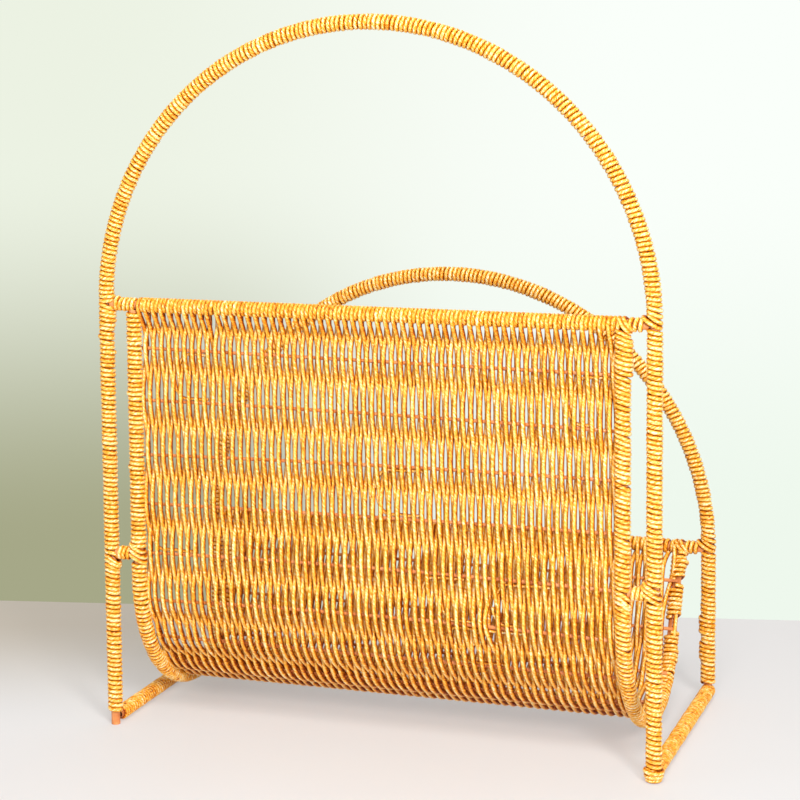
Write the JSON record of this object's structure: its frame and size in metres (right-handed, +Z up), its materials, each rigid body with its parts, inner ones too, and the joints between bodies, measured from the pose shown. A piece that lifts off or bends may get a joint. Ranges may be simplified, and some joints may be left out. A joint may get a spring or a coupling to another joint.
{
  "type": "magazine basket",
  "caption": "Open magazine basket: a tall and a low arched hoop of steel rod, bound in paper cord, carry a curved sling woven of the same cord between bent side rails.",
  "frame": {"origin": "on the floor, under the middle of the frame", "axes": "+Z up, +Y from the tall front hoop to the low rear hoop, +X to the right as seen from the front"},
  "size_m": [0.4012, 0.1932, 0.5026],
  "materials": {
    "paper_cord": "twisted paper cord, lightly waxed, amber gold",
    "painted_steel": "salmon to copper paint, satin"
  },
  "bodies": {
    "root": {"front_arch_binding": "paper_cord", "front_hoop_rod": "painted_steel", "front_sling_head": "paper_cord", "front_sling_panel": "paper_cord", "front_top_rod": "painted_steel", "left_base_bar": "painted_steel", "left_base_bar_binding": "paper_cord", "left_front_leg_binding": "paper_cord", "left_front_rod_end_binding": "paper_cord", "left_rail_binding": "paper_cord", "left_rail_stub": "painted_steel", "left_rear_leg_binding": "paper_cord", "left_rear_rod_end_binding": "paper_cord", "left_side_rail": "painted_steel", "left_stub_binding": "paper_cord", "rear_arch_binding": "paper_cord", "rear_hoop_rod": "painted_steel", "rear_sling_head": "paper_cord", "rear_top_rod": "painted_steel", "right_base_bar": "painted_steel", "right_base_bar_binding": "paper_cord", "right_front_leg_binding": "paper_cord", "right_front_rod_end_binding": "paper_cord", "right_rail_binding": "paper_cord", "right_rail_stub": "painted_steel", "right_rear_leg_binding": "paper_cord", "right_rear_rod_end_binding": "paper_cord", "right_side_rail": "painted_steel", "right_stub_binding": "paper_cord", "sling_cradle": "paper_cord", "sling_wire_01": "painted_steel", "sling_wire_02": "painted_steel", "sling_wire_03": "painted_steel", "sling_wire_04": "painted_steel", "sling_wire_05": "painted_steel", "sling_wire_06": "painted_steel", "sling_wire_07": "painted_steel", "sling_wire_08": "painted_steel", "sling_wire_09": "painted_steel", "sling_wire_10": "painted_steel", "sling_wire_11": "painted_steel", "sling_wire_12": "painted_steel", "sling_wire_13": "painted_steel"}
  },
  "joints": []
}
